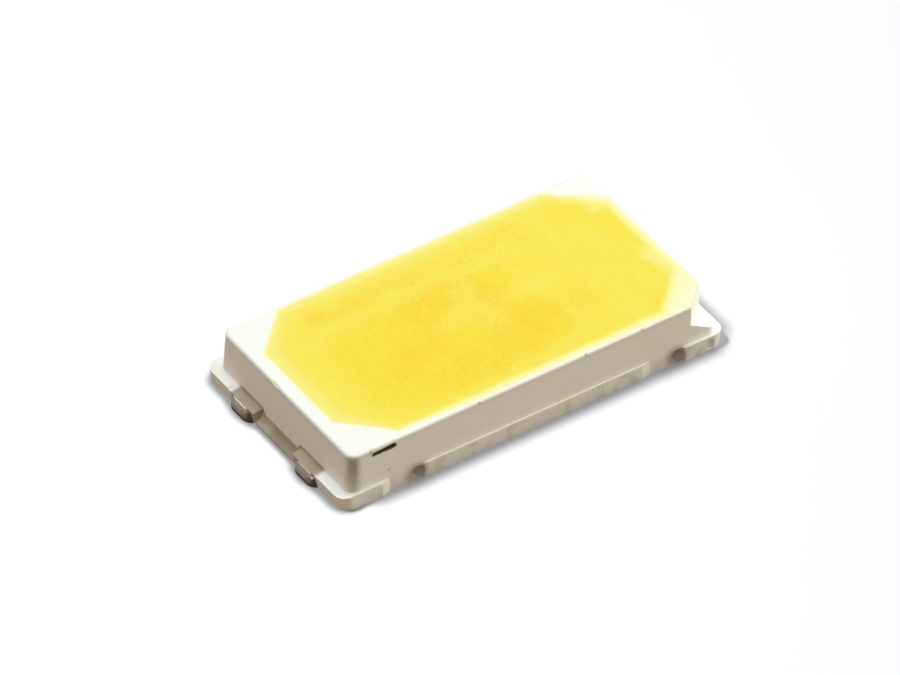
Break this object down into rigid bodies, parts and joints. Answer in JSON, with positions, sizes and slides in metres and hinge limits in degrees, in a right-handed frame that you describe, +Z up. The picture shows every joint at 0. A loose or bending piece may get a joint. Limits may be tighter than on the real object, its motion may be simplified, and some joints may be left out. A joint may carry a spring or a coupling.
{
  "type": "surface-mount led",
  "caption": "White surface-mount LED: moulded housing with an octagonal phosphor-filled cup, over a two-part lead frame with solder tabs at each end.",
  "frame": {"origin": "middle of the underside, on the surface that the part is soldered to", "axes": "+X along the long side, towards the end with the anode tabs and the cut polarity corner; +Y across the part, with the polarity corner on the -Y side; +Z up, the way that the light leaves"},
  "size_m": [0.0056, 0.003, 0.0008],
  "materials": {
    "white_moulding": "as moulded, satin, slightly warm white",
    "silver_plate": "silver plate on copper, with bare copper on the sheared tab ends",
    "phosphor_silicone": "yellow phosphor in clear silicone, smooth skin with fine mottling",
    "die_crystal": "polished crystal",
    "silicon": "sawn silicon",
    "die_glue": "cured adhesive film",
    "gold_wire": "bright gold"
  },
  "bodies": {
    "root": {"housing": "white_moulding", "cathode_lead": "silver_plate", "anode_lead": "silver_plate", "phosphor_encapsulant": "phosphor_silicone", "led_die": "die_crystal", "led_die_glue": "die_glue", "zener_die": "silicon", "zener_die_glue": "die_glue", "cathode_bond_wire": "gold_wire", "anode_bond_wire": "gold_wire", "zener_bond_wire": "gold_wire"}
  },
  "joints": []
}
